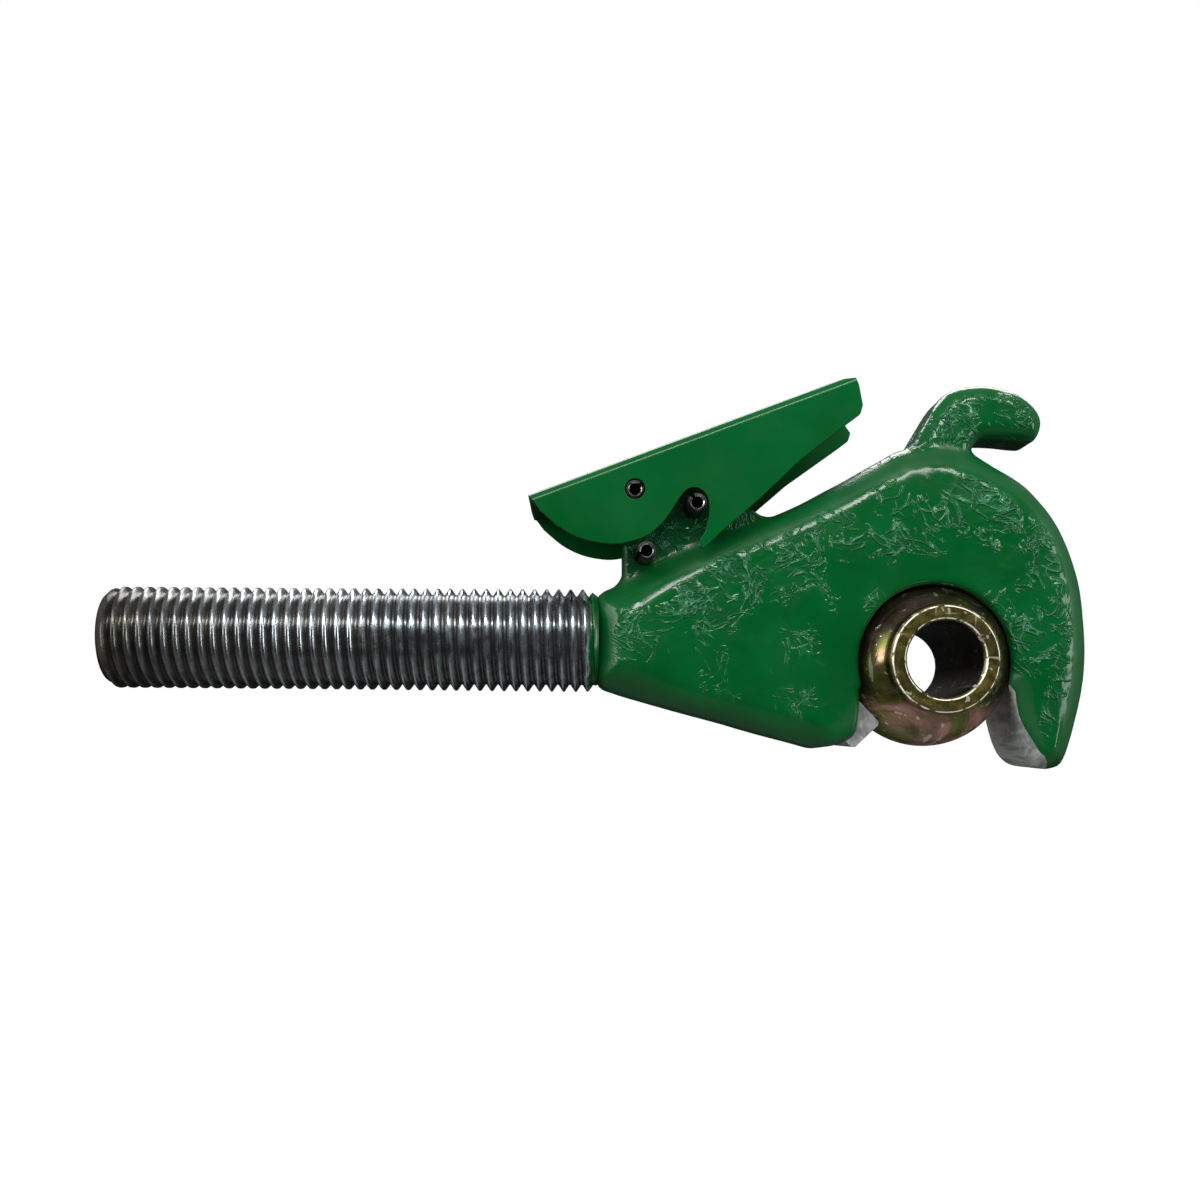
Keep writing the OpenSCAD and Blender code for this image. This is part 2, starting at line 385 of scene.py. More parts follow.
def makeForgedGreen():
    look = forgedLook
    material, tree, shader, place = newMaterial("forgedGreen", IOR=1.5)
    shader.inputs["Specular IOR Level"].default_value = look["shine"]
    face = put(tree, "ShaderNodeAttribute", attribute_name="wrinkled").outputs["Fac"]
    cover = plus(tree, times(tree, face, look["coverOnFaces"]), look["cover"])
    rough = useGroup(tree, wrinkles, Vector=place, Cover=cover)
    colour = twoTone(tree, place, 55.0, 4.0, 0.35, 0.65, greens["deep"], greens["plain"], 0.6)
    # painted highlight: the crease crests on the faces are lightened towards a pale green
    crest = times(tree, times(tree, rough["Crease"], face), look["crest"])
    colour = blendColour(tree, crest, colour, greens["paintedCreaseHighlight"])
    edge = put(tree, "ShaderNodeAttribute", attribute_name="ground").outputs["Fac"]
    ragged = times(tree, speckle(tree, place, 300.0, 3.0), 0.14)
    steel = remap(tree, plus(tree, edge, ragged), 0.05, 0.1)
    streaks = mapped(tree, place, Scale=(1.0, 0.08, 0.5))
    brushed = twoTone(tree, streaks, 700.0, 4.0, 0.35, 0.65, look["groundDark"], look["groundPale"], 0.6)
    flank = minus(tree, 1.0, remap(tree, face, 0.0, 0.3))  # the rounded sides shine less than the faces
    gloss = plus(tree, unevenGloss(tree, place, 120.0, 0.12, 0.22), times(tree, flank, 0.2))
    feed(tree, shader, {"Base Color": blendColour(tree, steel, colour, brushed),
                        "Metallic": times(tree, steel, look["groundMetal"]),
                        "Roughness": plus(tree, gloss, times(tree, steel, 0.28))})
    height = times(tree, rough["Height"], plus(tree, times(tree, face, 0.95), 0.05))
    addBump(tree, shader, height, look["bump"])
    return material


def makeSheetGreen():
    material, tree, shader, place = newMaterial("sheetGreen", IOR=1.33)
    colour = twoTone(tree, place, 40.0, 3.0, 0.3, 0.7, greens["deep"], greens["plain"])
    feed(tree, shader, {"Base Color": colour, "Roughness": unevenGloss(tree, place, 90.0, 0.14, 0.24)})
    addBump(tree, shader, speckle(tree, place, 260.0, 2.0), 0.00003)
    return material


# the oil colours also paint shade into the thread roots
threadLook = {"axisZ": 0.0052, "rootShade": (0.0121, 0.0131), "oilScale": 150.0, "bump": 0.00003,
              "zincPale": (0.6, 0.66, 0.7), "zincDull": (0.4, 0.43, 0.45), "zincAged": (0.2, 0.21, 0.21),
              "oilAndShadeDark": (0.018, 0.014, 0.01), "oilAndShadeBrown": (0.05, 0.038, 0.022), "spray": (-0.0867, -0.0852)}


def makeThreadSteel():  # painted shade darkens the thread roots; oil patches get thicker towards the free end
    look = threadLook
    material, tree, shader, place = newMaterial("threadSteel")
    x, y, height = put(tree, "ShaderNodeSeparateXYZ", {0: place}).outputs
    z = minus(tree, height, look["axisZ"])
    radius = calc(tree, "SQRT", plus(tree, times(tree, z, z), times(tree, y, y)))
    depth = remap(tree, radius, *look["rootShade"], 1.0, 0.0)
    along = remap(tree, x, -0.215, -0.095, 1.0, 0.0, smooth=False)
    cover = plus(tree, times(tree, calc(tree, "POWER", along, 2.2), 0.62), 0.2)
    oil = useGroup(tree, grime, Vector=place, Scale=look["oilScale"], Cover=cover, Soft=0.2)["Mask"]
    oil = times(tree, oil, times(tree, along, 0.85))
    # painted shade: the thread roots are darkened with the oil colour, a little more towards the free end
    rootShade = times(tree, depth, plus(tree, times(tree, along, 0.2), 0.78))
    dark = calc(tree, "MAXIMUM", oil, rootShade, clamp=True)
    dark = calc(tree, "MAXIMUM", dark, remap(tree, along, 0.84, 0.97, 0.0, 0.85))
    zinc = twoTone(tree, place, 420.0, 3.0, 0.42, 0.66, look["zincPale"], look["zincDull"])
    zinc = blendColour(tree, times(tree, along, 0.55), zinc, look["zincAged"])
    oilAndRootShade = twoTone(tree, place, 130.0, 2.0, 0.4, 0.6, look["oilAndShadeDark"], look["oilAndShadeBrown"])
    ragged = times(tree, speckle(tree, place, 160.0, 4.0), 0.006)
    spray = remap(tree, plus(tree, x, ragged), *look["spray"])  # green paint over the last turns by the weld
    colour = blendColour(tree, spray, blendColour(tree, dark, zinc, oilAndRootShade), greens["deep"])
    metal = minus(tree, 1.0, calc(tree, "MAXIMUM", spray, times(tree, dark, 0.18)))
    feed(tree, shader, {"Base Color": colour, "Metallic": metal,
                        "Roughness": unevenGloss(tree, place, 300.0, 0.17, 0.32)})
    streaks = mapped(tree, place, Scale=(1.0, 0.35, 0.35))
    addBump(tree, shader, speckle(tree, streaks, 900.0, 4.0, 0.6), look["bump"])
    return material


# the bore colour is painted shade inside the ball's bore
ballLook = {"tints": ((0.36, (0.13, 0.09, 0.07)), (0.44, (0.1, 0.11, 0.03)), (0.5, (0.15, 0.16, 0.03)),
                      (0.55, (0.2, 0.17, 0.07)), (0.6, (0.36, 0.19, 0.15)), (0.68, (0.46, 0.26, 0.2))),
            "endDark": (0.06, 0.05, 0.01), "endPale": (0.15, 0.125, 0.032), "bore": (0.022, 0.013, 0.008),
            "soil": (0.02, 0.018, 0.01), "scratchAndHighlight": (0.8, 0.78, 0.6), "highlightRingRadii": (0.0132, 0.0102), "bump": 0.00004}


def makeChromate():  # zinc with a yellow passivation, which shows pink and green where it is thin
    look = ballLook
    material, tree, shader, place = newMaterial("chromate")
    x, y, z = put(tree, "ShaderNodeSeparateXYZ", {0: place}).outputs
    # the tint follows height and side: darker olive and brown at the top, paler pink towards the bottom and +X
    drift = plus(tree, times(tree, z, -7.0), times(tree, x, 2.0))
    field = plus(tree, speckle(tree, place, 62.0, 4.0, 0.55, 1.2), drift)
    ramp = put(tree, "ShaderNodeValToRGB", {0: field})
    elements = ramp.color_ramp.elements
    while len(elements) < len(look["tints"]):
        elements.new(0.5)
    for element, (position, tone) in zip(elements, look["tints"]):
        element.position = position
        element.color = (*tone, 1.0)
    cap = remap(tree, calc(tree, "ABSOLUTE", y), 0.0198, 0.0206)
    flat = twoTone(tree, place, 420.0, 4.0, 0.38, 0.62, look["endDark"], look["endPale"], 0.65)
    colour = blendColour(tree, cap, ramp.outputs[0], flat)
    across = put(tree, "ShaderNodeVectorMath", {0: place, 1: (1.0, 0.0, 1.0)}, operation="MULTIPLY")
    radius = put(tree, "ShaderNodeVectorMath", {0: across.outputs[0]}, operation="LENGTH").outputs["Value"]
    # painted shade: the bore's walls are coloured near-black brown
    inside = remap(tree, radius, 0.0096, 0.0099, 1.0, 0.0)
    colour = blendColour(tree, times(tree, inside, 0.96), colour, look["bore"])
    soil = useGroup(tree, grime, Vector=place, Scale=110.0, Cover=0.46, Soft=0.1)["Mask"]
    colour = blendColour(tree, times(tree, soil, 0.6), colour, look["soil"])
    lines = useGroup(tree, scratches, Vector=place, Scale=420.0)["Mask"]
    rings = None
    for ringRadius in look["highlightRingRadii"]:  # painted highlight: bright rings on the turned chamfers
        away = calc(tree, "ABSOLUTE", minus(tree, radius, ringRadius))
        ring = remap(tree, away, 0.0001, 0.00022, 1.0, 0.0)
        rings = ring if rings is None else calc(tree, "MAXIMUM", rings, ring)
    broken = remap(tree, speckle(tree, place, 500.0, 3.0), 0.34, 0.5)
    rings = times(tree, times(tree, rings, cap), broken)
    # the scratch lines and the painted highlight rings share one pale colour
    bright = calc(tree, "MAXIMUM", times(tree, lines, 0.5), times(tree, rings, 0.95))
    colour = blendColour(tree, bright, colour, look["scratchAndHighlight"])
    below = remap(tree, z, -0.008, -0.016, 0.0, 0.55)
    matt = calc(tree, "MAXIMUM", calc(tree, "MAXIMUM", times(tree, cap, 0.45), rings), below)
    feed(tree, shader, {"Base Color": colour, "Metallic": minus(tree, 0.95, times(tree, matt, 0.9)),
                        "Roughness": unevenGloss(tree, place, 240.0, 0.12, 0.28)})
    height = minus(tree, speckle(tree, place, 700.0, 3.0), times(tree, lines, 0.5))
    addBump(tree, shader, height, look["bump"])
    return material


steels = {"brushedDark": (0.32, 0.32, 0.32), "brushedPale": (0.56, 0.56, 0.55), "soil": (0.09, 0.08, 0.07),
          "pinDark": (0.006, 0.006, 0.007), "pinPale": (0.02, 0.02, 0.022), "pinWorn": (0.3, 0.32, 0.3),
          "rimDark": (0.12, 0.13, 0.12), "rimPale": (0.75, 0.78, 0.75), "wireDark": (0.1, 0.1, 0.11),
          "wirePale": (0.3, 0.3, 0.31)}


def makeBareSteel():
    material, tree, shader, place = newMaterial("bareSteel", Metallic=0.65)
    streaks = mapped(tree, place, Scale=(1.0, 0.08, 0.5))
    brushed = speckle(tree, streaks, 700.0, 4.0, 0.6)
    colour = blendColour(tree, remap(tree, brushed, 0.35, 0.65), steels["brushedDark"], steels["brushedPale"])
    soil = useGroup(tree, grime, Vector=place, Scale=260.0, Cover=0.36, Soft=0.08)["Mask"]
    colour = blendColour(tree, times(tree, soil, 0.6), colour, steels["soil"])
    feed(tree, shader, {"Base Color": colour, "Roughness": unevenGloss(tree, place, 400.0, 0.26, 0.46)})
    addBump(tree, shader, brushed, 0.00006)
    return material


def makeBlackSteel():
    material, tree, shader, place = newMaterial("blackSteel", Metallic=0.6, Roughness=0.4)
    worn = useGroup(tree, edgeWear, Vector=place, Start=0.6, End=0.72)["Mask"]
    colour = twoTone(tree, place, 600.0, 3.0, 0.4, 0.6, steels["pinDark"], steels["pinPale"])
    feed(tree, shader, {"Base Color": blendColour(tree, times(tree, worn, 0.5), colour, steels["pinWorn"])})
    addBump(tree, shader, speckle(tree, place, 900.0, 3.0), 0.00004)
    return material


def makePlainSteel(name, roughness, scale, low, high, dark, pale):
    material, tree, shader, place = newMaterial(name, Metallic=1.0, Roughness=roughness)
    feed(tree, shader, {"Base Color": twoTone(tree, place, scale, 3.0, low, high, dark, pale)})
    return material


forgedGreen, sheetGreen, threadSteel = makeForgedGreen(), makeSheetGreen(), makeThreadSteel()
chromate, bareSteel, blackSteel = makeChromate(), makeBareSteel(), makeBlackSteel()
wornRim = makePlainSteel("wornRim", 0.3, 900.0, 0.42, 0.55, steels["rimDark"], steels["rimPale"])
springSteel = makePlainSteel("springSteel", 0.35, 300.0, 0.4, 0.6, steels["wireDark"], steels["wirePale"])
print("finishes made")


view = {"place": (-0.0919, -0.329, -0.016), "lens": 37.2, "sensor": 36.0, "shiftX": 0.0208, "shiftY": 0.1006,
        "roll": -0.0078, "nearest": 0.01}
cameraData = bpy.data.cameras.new("camera")
cameraData.sensor_width, cameraData.lens = view["sensor"], view["lens"]
cameraData.shift_x, cameraData.shift_y = view["shiftX"], view["shiftY"]
cameraData.clip_start = view["nearest"]
camera = bpy.data.objects.new("camera", cameraData)
camera.location = view["place"]
camera.rotation_euler = (math.radians(90), view["roll"], 0)
scene.collection.objects.link(camera)
scene.camera = camera

# places that several pieces share, in millimetres in the X-Z plane

pivot = Vector((-77.2, 42.7))
pinReach, pinSide = 13.4, 8.8  # the lug pins, along and across the latch from the pivot
latchAngle = math.radians(46)
along = Vector((math.cos(latchAngle), -math.sin(latchAngle)))
across = Vector((math.sin(latchAngle), math.cos(latchAngle)))
upperPin = pivot + pinReach * along + pinSide * across
lowerPin = pivot + pinReach * along - pinSide * across
latchTurn = Matrix.Rotation(math.radians(136), 4, "Y")  # brings +Z to the latch's line
latchFrame = Matrix.Translation((pivot.x, 0, pivot.y)) @ latchTurn


forging = {"step": 0.55, "half": 13.35, "dome": 0.7, "edge": 8.5, "lugHalf": 7.0, "lugEdge": 1.7, "hornHalf": 9.5,
           "hornEdge": 5.0, "weldX": -86.0, "axisZ": 5.2, "seat": 22.4, "lip": 19.6, "barEdge": 13.0,
           "tipEdge": 1.6, "heelEdge": 3.4, "barRound": 1.5, "lugFillet": 3.0, "hornFillet": 2.0, "mouthRound": 1.8}
bores = {"stem": 4.6, "stemEnd": 34.2, "pocket": 6.6, "pocketStart": 34, "slotStart": 60.5, "slotLow": -5.2,
         "slotHigh": 4.6, "slotWidth": 20.2, "pin": 2.55}

crown = smoothCurve([(-42.3, 37.1), (-34, 40.8), (-23.8, 46.3), (-13.5, 52.2), (-7, 55.3), (4, 56), (14.4, 52),
                     (23.1, 47.2), (28.4, 42.2), (32.5, 37), (35.8, 30.3), (38.1, 23.8), (39.8, 16), (40.7, 5.7),
                     (40.3, -4.5), (39, -12.5), (37, -20.3), (35.4, -24.9), (33.8, -27), (31.2, -27.6)])
mouth = smoothCurve([(31.2, -27.6), (27.5, -27.1), (24.4, -24.8), (22.6, -21.5), (21.2, -17), (20.2, -12),
                     (19.6, -8)])
heel = smoothCurve([(-17.5, -15.5), (-19.2, -18.4), (-21.4, -20.2), (-25.7, -22.1), (-30.3, -22.8)])
blank = [(-88, 17.4), (-84.4, 18.6), (-79.8, 21.2)] + crown + mouth[1:] + [(14, -6), (-14, -10)] + heel
blank += [(-84.4, -8.3), (-88, -7.4)]
lugCorner = pivot + 7.5 * along + 13 * across
lug = [(-79.7, 8), (-79.7, 29.9), tuple(lugCorner - 0.6 * along - 1.2 * across), tuple(lugCorner + 1.0 * along),
       (-45.6, 39.2), (-42.5, 36.6), (-40, 8)]
horn = [(-8, 47)] + smoothCurve([(-5.6, 54.9), (-1.8, 61.4), (2.4, 68.3), (7, 71.2), (14.5, 72.1), (21.2, 70.6),
                                 (25.1, 68.3), (28, 65.3), (28.9, 61.8), (27.4, 58), (24.7, 57.6), (18.6, 58.2),
                                 (12.9, 57.9), (10.9, 54.8), (14.6, 50.9)]) + [(16, 45)]
# the paint is roughest along this line
roughBand = [(-60, 17), (-48, 24), (-30, 33), (-4, 36), (15, 39), (28, 20), (28, 0), (26.5, -17)]


def outlineDistance(points, x, z):  # negative inside
    nearest = np.full(x.shape, 1e9)
    side = np.ones(x.shape)
    for (ax, az), (bx, bz) in zip(points, points[1:] + points[:1]):
        ex, ez = bx - ax, bz - az
        if ex * ex + ez * ez < 1e-12:
            continue
        wx, wz = x - ax, z - az
        t = np.clip((wx * ex + wz * ez) / (ex * ex + ez * ez), 0, 1)
        nearest = np.minimum(nearest, (wx - ex * t) ** 2 + (wz - ez * t) ** 2)
        above, below, left = z >= az, z < bz, ex * wz > ez * wx
        side = np.where((above & below & left) | (~above & ~below & ~left), -side, side)
    return side * np.sqrt(nearest)


def step01(value, low, high):
    t = np.clip((value - low) / (high - low), 0, 1)
    return t * t * (3 - 2 * t)


def softUnion(a, b, k):
    h = np.clip(0.5 + 0.5 * (b - a) / k, 0, 1)
    return b * (1 - h) + a * h - k * h * (1 - h)


def softCut(a, b, k):
    return -softUnion(-a, -b, k)


def roundedPlate(flat, y, half, edge):
    p, q = flat + edge, np.abs(y) - (half - edge)
    return np.minimum(np.maximum(p, q), 0) + np.hypot(np.maximum(p, 0), np.maximum(q, 0)) - edge


def forgingField(x, y, z):  # x and z are planes, y a row; the result is a volume
    s = forging
    x3, z3, y3 = x[:, None, :], z[:, None, :], y[None, :, None]
    flat = outlineDistance(blank, x, z)[:, None, :]
    half = s["half"] - s["dome"] * (1 - step01(-flat, 3, 16))
    edge = s["edge"] + (s["barEdge"] - s["edge"]) * (1 - step01(x3, -86, -60))
    innerSide = step01(31 - x3, -1.5, 2) * step01(x3, 10, 14) * step01(-z3, 2, 6)
    eased = 1 - 0.55 * step01(-y3, -1, 1) * step01(-z3, 13, 24)  # the near edge rounds off towards the tip
    edge = edge + (s["tipEdge"] - edge) * innerSide * eased
    heelCorner = step01(x3, -31, -24) * step01(-x3, 8, 12) * step01(-z3, 7, 13)
    edge = edge + (s["heelEdge"] - edge) * heelCorner
    edge = np.minimum(edge, half * 0.95)
    head = roundedPlate(flat, y3, half, edge)
    radius = np.hypot(y3, z3 - s["axisZ"])
    envelope = np.interp(x3 - s["weldX"], [0, 1.6, 4, 9, 15, 90], [11.9, 13.7, 14.6, 17.6, 23, 90])
    head = softCut(head, (radius - envelope) * 0.85, s["barRound"])
    lugPart = roundedPlate(outlineDistance(lug, x, z)[:, None, :], y3, s["lugHalf"], s["lugEdge"])
    hornPart = roundedPlate(outlineDistance(horn, x, z)[:, None, :], y3, s["hornHalf"], s["hornEdge"])
    whole = softUnion(softUnion(head, lugPart, s["lugFillet"]), hornPart, s["hornFillet"])
    turns = np.linspace(math.radians(-22), math.radians(198), 60)
    ring = [(s["lip"] * math.cos(a), s["lip"] * math.sin(a)) for a in turns]
    opening = ring + [(-19.2, -8), (-19.2, -45), (17, -45), (17, -12)]
    whole = softCut(whole, -outlineDistance(opening, x, z)[:, None, :], s["mouthRound"])
    return np.maximum(whole, s["weldX"] - x3)


def surfaceOf(field, low, step):  # a quad skin where the field is zero
    inside = field < 0
    cells = tuple(n - 1 for n in field.shape)
    total, count = np.zeros(cells + (3,)), np.zeros(cells)
    quads = []
    for axis in range(3):
        a, b = [slice(None)] * 3, [slice(None)] * 3
        a[axis], b[axis] = slice(0, -1), slice(1, None)
        crossing = inside[tuple(a)] != inside[tuple(b)]
        f0, f1 = field[tuple(a)], field[tuple(b)]
        share = np.where(crossing, f0 / np.where(crossing, f0 - f1, 1), 0)
        others = [k for k in range(3) if k != axis]
        for d0 in (0, 1):
            for d1 in (0, 1):
                take = [slice(None)] * 3
                take[others[0]] = slice(d0, field.shape[others[0]] - 1 + d0)
                take[others[1]] = slice(d1, field.shape[others[1]] - 1 + d1)
                hit = crossing[tuple(take)]
                count += hit
                total[..., axis] += hit * share[tuple(take)]
                total[..., others[0]] += hit * d0
                total[..., others[1]] += hit * d1
        spots = np.argwhere(crossing)
        keep = (spots[:, others[0]] > 0) & (spots[:, others[1]] > 0)
        for k in others:
            keep &= spots[:, k] < field.shape[k] - 1
        spots = spots[keep]
        corners = []
        for d0, d1 in ((-1, -1), (0, -1), (0, 0), (-1, 0)):
            cell = spots.copy()
            cell[:, others[0]] += d0
            cell[:, others[1]] += d1
            corners.append(np.ravel_multi_index(cell.T, cells))
        quad = np.stack(corners, 1)
        starts = inside[tuple(spots.T)]
        flip = starts if axis != 1 else ~starts
        quad[~flip] = quad[~flip][:, ::-1]
        quads.append(quad)
    used = count > 0
    number = -np.ones(cells, int)
    number[used] = np.arange(used.sum())
    place = total[used] / count[used][:, None] + np.argwhere(used)
    return place * step + np.array(low), number.ravel()[np.concatenate(quads)]


def makeForging():
    s = forging
    xs, ys, zs = (np.arange(low, high, s["step"]) for low, high in ((-87.3, 42.2), (-15.4, 15.5), (-29.6, 74.3)))
    x, z = np.meshgrid(xs, zs, indexing="ij")
    verts, quads = surfaceOf(forgingField(x, ys, z), (xs[0], ys[0], zs[0]), s["step"])
    obj = outward(meshObject("hookForging", verts, quads))
    print("forging skin", len(verts))
    roughen(obj)
    seat, b = s["seat"], bores
    capsule = [(0, seat)] + [(seat * math.sin(a), seat * math.cos(a)) for a in np.linspace(0, math.pi / 2, 33)[1:]]
    combine(obj, lathe("seatCutter", capsule + [(seat, -48), (0, -48)], "Z", 160))
    stem = lathe("stemCutter", [(0, -12), (b["stem"], -12), (b["stem"], b["stemEnd"]), (0, b["stemEnd"])], "Z", 48)
    pocket = lathe("pocketCutter", [(0, b["pocketStart"]), (b["pocket"], b["pocketStart"]), (b["pocket"], 104),
                                    (0, 104)], "Z", 64)
    slot = prism("slotCutter", [(b["slotLow"], b["slotStart"]), (b["slotHigh"], b["slotStart"]),
                                (b["slotHigh"], 106), (b["slotLow"], 106)], b["slotWidth"])
    for tool in (stem, pocket, slot):
        tool.data.transform(latchFrame)
        combine(obj, tool)
    for place in (upperPin, lowerPin):
        tool = lathe("pinCutter", [(0, -12), (b["pin"], -12), (b["pin"], 12), (0, 12)], "Y", 48)
        tool.data.transform(Matrix.Translation((place.x, 0, place.y)))
        combine(obj, tool)
    markBare(obj)
    return toMetres(obj)


def roughen(obj):  # the uneven skin of the forging, and creases where the paint lies thick on its faces
    mesh = obj.data
    n = len(mesh.vertices)
    co, normal = np.empty(n * 3), np.empty(n * 3)
    mesh.vertices.foreach_get("co", co)
    mesh.vertices.foreach_get("normal", normal)
    co, normal = co.reshape(-1, 3), normal.reshape(-1, 3)
    flat = outlineDistance(blank, co[:, 0], co[:, 2])
    hornFlat = outlineDistance(horn, co[:, 0], co[:, 2])
    onHorn = step01(co[:, 2] + 0.35 * np.abs(co[:, 0] - 4), 55, 59)
    facing = step01(np.abs(normal[:, 1]), 0.45, 0.9)
    apart = np.abs(outlineDistance(roughBand + roughBand[-2:0:-1], co[:, 0], co[:, 2]))
    mask = step01(-flat, 4.5, 7.5) * facing * (0.35 + 0.65 * (1 - step01(apart, 7, 13)))
    mask = np.maximum(mask, onHorn * step01(-hornFlat, 0.5, 3.0))
    mask = np.maximum(mask, onHorn * 0.45)
    lugFlat = outlineDistance(lug, co[:, 0], co[:, 2])
    mask = np.maximum(mask, 0.8 * step01(-lugFlat, 0.5, 2) * step01(7.6 - np.abs(co[:, 1]), 0, 0.3) * facing)
    shift = np.empty(n)
    for k in range(n):
        p = Vector(co[k])
        broad = noise.noise(p * 0.085) * 0.16 + noise.noise(p * 0.24) * 0.05
        crease = 0.0
        if mask[k] > 0.01:
            patch = noise.noise(p * 0.075 + Vector((7.1, 3.3, 1.9))) + 0.5 * noise.noise(p * 0.17)
            amount = min(max((patch + 0.12) / 0.3, 0), 1) * mask[k]
            if amount > 0:
                bent = p + 2.6 * noise.noise_vector(p * 0.16)
                line = 1 - abs(noise.noise(bent * 0.36)) * 3.6
                fine = 1 - abs(noise.noise(bent * 0.75 + Vector((3, 5, 8)))) * 3.2
                crease = amount * (0.2 * max(line, 0) ** 2 + 0.09 * max(fine, 0) ** 2)
        shift[k] = broad + crease
    shift *= np.where(co[:, 0] < forging["weldX"] + 2.5, 0.15, 1.0)
    mesh.vertices.foreach_set("co", (co + normal * shift[:, None]).ravel())
    attribute = mesh.attributes.new("wrinkled", "FLOAT", "POINT")
    attribute.data.foreach_set("value", mask.astype(np.float32))
    towards = -0.8 * normal[:, 0] - 0.6 * normal[:, 2] - 0.42  # the tip's inner side was ground bare
    ground = np.where((co[:, 2] < -6) & (co[:, 0] > 12), towards, -1.0)
    attribute = mesh.attributes.new("ground", "FLOAT", "POINT")
    attribute.data.foreach_set("value", ground.astype(np.float32))
    mesh.update()


def markBare(obj):  # the cutters leave bare steel
    mesh = obj.data
    mesh.materials.clear()
    mesh.materials.append(forgedGreen)
    mesh.materials.append(bareSteel)
    n = len(mesh.polygons)
    centre = np.empty(n * 3)
    mesh.polygons.foreach_get("center", centre)
    centre = centre.reshape(-1, 3)
    x, y, z = centre.T
    seat = np.where(z > 0, np.sqrt(x * x + y * y + z * z), np.hypot(x, y))
    bare = np.abs(seat - forging["seat"]) < 0.06
    rel = np.stack([x - pivot.x, z - pivot.y], 1)
    reach, off = rel @ np.array(along), rel @ np.array(across)
    wall = np.hypot(off, y)
    bare |= (wall < bores["stem"] + 0.05) | ((reach > bores["pocketStart"] - 0.2) & (wall < bores["pocket"] + 0.06))
    bare |= (reach > 60.3) & (np.abs(y) < 10.15) & (off > -4.65) & (off < 5.25)
    for place in (upperPin, lowerPin):
        bare |= np.hypot(x - place.x, z - place.y) < bores["pin"] + 0.02
    mesh.polygons.foreach_set("material_index", bare.astype(np.int32))
    mesh.update()


hook = shadeSmooth(makeForging(), 50)
finishPiece(hook, "root", "green_paint_forging", "hook_body")


shank = {"Length": 0.129, "Start": -0.215, "Axis Height": 0.0052, "Major Radius": 0.01355, "Depth": 0.0018,
         "Pitch": 0.003175, "Free End Radius": 0.0117, "Weld End Radius": 0.0116}


def makeThreadTree():
    tree = bpy.data.node_groups.new("rolledThread", "GeometryNodeTree")
    tree.interface.new_socket(name="Geometry", in_out="INPUT", socket_type="NodeSocketGeometry")
    for label in shank:
        tree.interface.new_socket(name=label, in_out="INPUT", socket_type="NodeSocketFloat")
    tree.interface.new_socket(name="Finish", in_out="INPUT", socket_type="NodeSocketMaterial")
    tree.interface.new_socket(name="Geometry", in_out="OUTPUT", socket_type="NodeSocketGeometry")
    given = tree.nodes.new("NodeGroupInput").outputs
    turnsAll, rows, sides = 42, 8, 96
    sheet = put(tree, "GeometryNodeMeshGrid", {"Size X": 1.0, "Size Y": 1.0, "Vertices X": sides + 1,
                                               "Vertices Y": turnsAll * rows + 1})
    spot = put(tree, "ShaderNodeSeparateXYZ", {0: put(tree, "GeometryNodeInputPosition").outputs[0]}).outputs
    around = plus(tree, spot[0], 0.5)
    turn = minus(tree, times(tree, plus(tree, spot[1], 0.5), float(turnsAll)), 1.0)
    reach = times(tree, plus(tree, turn, around), given["Pitch"])
    reach = calc(tree, "MINIMUM", calc(tree, "MAXIMUM", reach, 0.0), given["Length"])
    phase = calc(tree, "FRACT", plus(tree, turn, 1.4375))
    away = times(tree, calc(tree, "ABSOLUTE", minus(tree, phase, 0.5)), 2.0)  # 0 at a crest, 1 at a root
    sharp = calc(tree, "DIVIDE", minus(tree, away, 0.125), 0.75, clamp=True)
    soft = minus(tree, 0.5, times(tree, calc(tree, "COSINE", times(tree, away, math.pi)), 0.5))
    soft = plus(tree, times(tree, soft, 0.86), 0.06)
    worn = minus(tree, 1.0, calc(tree, "DIVIDE", reach, given["Length"]))
    share = remap(tree, worn, 0.05, 0.6)  # crests are rounder towards the free end
    drop01 = plus(tree, times(tree, soft, share), times(tree, sharp, minus(tree, 1.0, share)))
    radius = minus(tree, given["Major Radius"], times(tree, drop01, given["Depth"]))
    freeEnd = plus(tree, given["Free End Radius"], times(tree, reach, 0.85))
    left = minus(tree, given["Length"], reach)
    weldEnd = plus(tree, given["Weld End Radius"], times(tree, left, 0.75))
    radius = calc(tree, "MINIMUM", radius, calc(tree, "MINIMUM", freeEnd, weldEnd))
    angle = times(tree, around, 2 * math.pi)
    place = put(tree, "ShaderNodeCombineXYZ", {
        0: plus(tree, reach, given["Start"]),
        1: times(tree, radius, calc(tree, "COSINE", angle)),
        2: plus(tree, times(tree, radius, calc(tree, "SINE", angle)), given["Axis Height"])})
    moved = put(tree, "GeometryNodeSetPosition", {"Geometry": sheet.outputs[0], "Position": place.outputs[0]})
    welded = put(tree, "GeometryNodeMergeByDistance", {"Geometry": moved.outputs[0], "Distance": 0.000004})
    real = put(tree, "GeometryNodeRealizeInstances", {"Geometry": welded.outputs[0]})
    painted = put(tree, "GeometryNodeSetMaterial", {"Geometry": real.outputs[0], "Material": given["Finish"]})
    tree.links.new(painted.outputs[0], tree.nodes.new("NodeGroupOutput").inputs[0])
    return tree


def growFrom(tree, name, values):  # runs a geometry tree with these named inputs, and keeps the mesh
    obj = meshObject(name, [(0, 0, 0)], [])
    modifier = obj.modifiers.new("make", "NODES")
    modifier.node_group = tree
    sockets = {item.name: item.identifier for item in tree.interface.items_tree if item.in_out == "INPUT"}
    for label, value in values.items():
        modifier[sockets[label]] = value
    return applyAll(obj)


